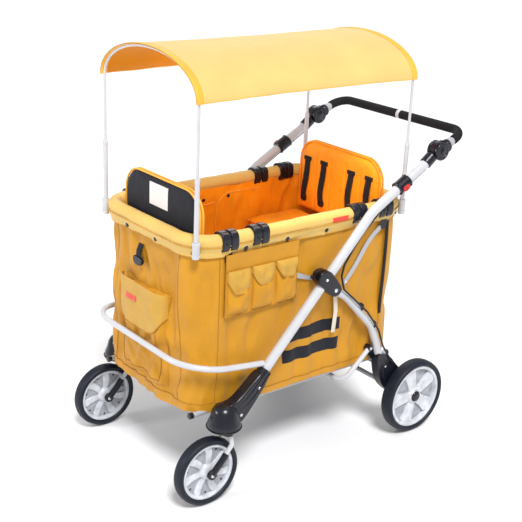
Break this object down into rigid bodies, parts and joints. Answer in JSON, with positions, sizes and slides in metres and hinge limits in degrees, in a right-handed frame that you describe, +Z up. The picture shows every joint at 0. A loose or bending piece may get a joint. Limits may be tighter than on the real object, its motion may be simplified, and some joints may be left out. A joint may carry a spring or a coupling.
{
  "type": "folding children's wagon",
  "caption": "Folding children's wagon with a fabric cabin, facing benches, arched canopy, swivelling front wheels and a tilting push handle.",
  "frame": {"origin": "on the floor, under the middle of the overall box", "axes": "+Z up; -Y towards the swivelling front wheels; +X towards the wagon's left side"},
  "size_m": [0.67, 1.0893, 1.2847],
  "materials": {
    "white_paint": "satin white powder coat",
    "black_plastic": "moulded black nylon, slightly glossy",
    "grey_metal": "silver-grey paint",
    "tyre_rubber": "dark blue-black rubber",
    "wheel_white": "silver-white moulded plastic",
    "grip_foam": "black foam",
    "cable_black": "black cable sheath",
    "yellow_fabric": "golden yellow woven polyester, orange inside",
    "canopy_fabric": "pale yellow woven polyester",
    "orange_fabric": "padded orange fabric",
    "red_plastic": "red tab"
  },
  "bodies": {
    "chassis": {"main_tube_left": "white_paint", "main_tube_right": "white_paint", "front_bumper": "white_paint", "caster_housing_left": "black_plastic", "caster_housing_right": "black_plastic", "pivot_clamp_left": "black_plastic", "pivot_clamp_right": "black_plastic", "front_strut_left": "grey_metal", "front_strut_right": "grey_metal", "rear_strut_left": "grey_metal", "rear_strut_right": "grey_metal", "rim_frame": "white_paint", "rim_hinge_front_left": "black_plastic", "rim_hinge_front_right": "black_plastic", "rim_hinge_rear_left": "black_plastic", "rim_hinge_rear_right": "black_plastic", "cabin_fabric": "yellow_fabric", "front_pocket": "yellow_fabric", "side_organiser": "yellow_fabric", "floor_board": "black_plastic", "floor_frame": "grey_metal", "bench_front": "orange_fabric", "bench_rear": "orange_fabric", "handle_base_left": "black_plastic", "handle_base_right": "black_plastic", "cable_collar_left": "black_plastic", "cable_collar_right": "black_plastic", "brake_cable_upper_left": "cable_black", "brake_cable_upper_right": "cable_black"},
    "rear_legs": {"rear_leg_left": "white_paint", "rear_leg_right": "white_paint", "rear_axle": "black_plastic", "brake_cable_lower_left": "cable_black", "brake_cable_lower_right": "cable_black"},
    "link": {"link_bar": "grey_metal"},
    "handle": {"handle_head_left": "black_plastic", "handle_head_right": "black_plastic", "handle_tube": "grey_metal", "grip_foam_left": "grip_foam", "grip_foam_right": "grip_foam"},
    "canopy": {"canopy_frame_front": "white_paint", "canopy_frame_rear": "white_paint", "canopy_fabric": "canopy_fabric"},
    "front_back": {"backrest_front": "orange_fabric"},
    "rear_back": {"backrest_rear": "orange_fabric"},
    "caster_left": {"fork_left": "white_paint"},
    "front_wheel_left": {"front_hub_left": "wheel_white", "front_tyre_left": "tyre_rubber"},
    "rear_wheel_left": {"rear_hub_left": "wheel_white", "rear_tyre_left": "tyre_rubber"},
    "button_left": {"tilt_button_left": "black_plastic"},
    "slider_left": {"brake_slider_left": "red_plastic"},
    "caster_right": {"fork_right": "white_paint"},
    "front_wheel_right": {"front_hub_right": "wheel_white", "front_tyre_right": "tyre_rubber"},
    "rear_wheel_right": {"rear_hub_right": "wheel_white", "rear_tyre_right": "tyre_rubber"},
    "button_right": {"tilt_button_right": "black_plastic"},
    "slider_right": {"brake_slider_right": "red_plastic"}
  },
  "joints": [
    {"name": "fold", "type": "hinge", "parent": "chassis", "child": "rear_legs", "pos_m": [0, 0.01075, 0.573], "axis": [1, 0, 0], "range_deg": [-48, 0]},
    {"name": "link_swing", "type": "hinge", "parent": "rear_legs", "child": "link", "pos_m": [0, 0.20575, 0.322], "axis": [1, 0, 0], "range_deg": [0, 40]},
    {"name": "handle_tilt", "type": "hinge", "parent": "chassis", "child": "handle", "pos_m": [0, 0.41575, 0.947], "axis": [1, 0, 0], "range_deg": [-60, 45]},
    {"name": "canopy_lift", "type": "slide", "parent": "chassis", "child": "canopy", "axis": [0, 0, 1], "range_m": [0, 0.06]},
    {"name": "front_back_fold", "type": "hinge", "parent": "chassis", "child": "front_back", "pos_m": [0, -0.40725, 0.668], "axis": [1, 0, 0], "range_deg": [-80, 0]},
    {"name": "rear_back_fold", "type": "hinge", "parent": "chassis", "child": "rear_back", "pos_m": [0, 0.27875, 0.668], "axis": [1, 0, 0], "range_deg": [0, 80]},
    {"name": "caster_swivel_left", "type": "hinge", "parent": "chassis", "child": "caster_left", "pos_m": [0.286, -0.38025, 0.222], "axis": [0, 0, 1], "continuous": true},
    {"name": "front_wheel_spin_left", "type": "hinge", "parent": "caster_left", "child": "front_wheel_left", "pos_m": [0.286, -0.44025, 0.105], "axis": [1, 0, 0], "continuous": true},
    {"name": "rear_wheel_spin_left", "type": "hinge", "parent": "rear_legs", "child": "rear_wheel_left", "pos_m": [0.311, 0.37975, 0.125], "axis": [1, 0, 0], "continuous": true},
    {"name": "tilt_button_left", "type": "slide", "parent": "handle", "child": "button_left", "axis": [-1, 0, 0], "range_m": [0, 0.003], "stiffness_N_per_m": 600},
    {"name": "brake_slide_left", "type": "slide", "parent": "chassis", "child": "slider_left", "axis": [0, 0.868, 0.4966], "range_m": [0, 0.012]},
    {"name": "caster_swivel_right", "type": "hinge", "parent": "chassis", "child": "caster_right", "pos_m": [-0.286, -0.38025, 0.222], "axis": [0, 0, 1], "continuous": true},
    {"name": "front_wheel_spin_right", "type": "hinge", "parent": "caster_right", "child": "front_wheel_right", "pos_m": [-0.286, -0.44025, 0.105], "axis": [1, 0, 0], "continuous": true},
    {"name": "rear_wheel_spin_right", "type": "hinge", "parent": "rear_legs", "child": "rear_wheel_right", "pos_m": [-0.311, 0.37975, 0.125], "axis": [1, 0, 0], "continuous": true},
    {"name": "tilt_button_right", "type": "slide", "parent": "handle", "child": "button_right", "axis": [1, 0, 0], "range_m": [0, 0.003], "stiffness_N_per_m": 600},
    {"name": "brake_slide_right", "type": "slide", "parent": "chassis", "child": "slider_right", "axis": [0, 0.868, 0.4966], "range_m": [0, 0.012]}
  ],
  "couplings": [
    {"joint": "link_swing", "follows": "fold", "ratio": -0.8}
  ]
}
